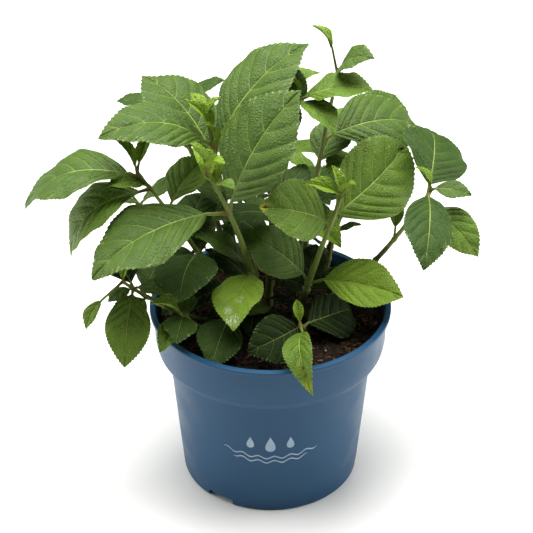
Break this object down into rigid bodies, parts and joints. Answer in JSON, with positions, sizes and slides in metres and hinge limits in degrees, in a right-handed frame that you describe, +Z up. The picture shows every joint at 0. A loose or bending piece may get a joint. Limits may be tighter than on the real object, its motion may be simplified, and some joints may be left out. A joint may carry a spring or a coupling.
{
  "type": "potted hydrangea shrub",
  "caption": "Bushy leafy young hydrangea shrub in its round plastic nursery pot, not in flower, standing on the pot's flat underside.",
  "frame": {"origin": "centre of the pot's flat underside, on the ground", "axes": "+Z up the pot's axis, -Y towards the front of the plant, +X to the right seen from the front"},
  "size_m": [0.4119, 0.3287, 0.4432],
  "materials": {
    "pot": "satin blue moulded plastic",
    "soil": "damp bark and peat potting mix",
    "old_cane": "dry grey-brown cut stub",
    "cane": "smooth olive green young cane",
    "leaf": "matt mid-green veined leaf"
  },
  "bodies": {
    "root": {"pot": "pot", "potting_soil": "soil", "pruned_stub": "old_cane", "cane_front_left": "cane", "foliage_front_left": "leaf", "cane_front_right": "cane", "foliage_front_right": "leaf", "cane_far_right": "cane", "foliage_far_right": "leaf", "cane_top_right": "cane", "foliage_top_right": "leaf", "cane_middle": "cane", "foliage_middle": "leaf", "cane_top_left": "cane", "foliage_top_left": "leaf", "cane_far_left": "cane", "foliage_far_left": "leaf", "cane_low_left": "cane", "foliage_low_left": "leaf", "cane_right_back": "cane", "foliage_right_back": "leaf", "cane_skirt_left": "cane", "foliage_skirt_left": "leaf", "cane_skirt_front": "cane", "foliage_skirt_front": "leaf", "cane_skirt_right": "cane", "foliage_skirt_right": "leaf", "cane_back_left": "cane", "foliage_back_left": "leaf", "cane_back_middle": "cane", "foliage_back_middle": "leaf", "cane_back_right": "cane", "foliage_back_right": "leaf", "cane_back_low_left": "cane", "foliage_back_low_left": "leaf", "cane_back_low_middle": "cane", "foliage_back_low_middle": "leaf", "cane_back_low_right": "cane", "foliage_back_low_right": "leaf"}
  },
  "joints": []
}
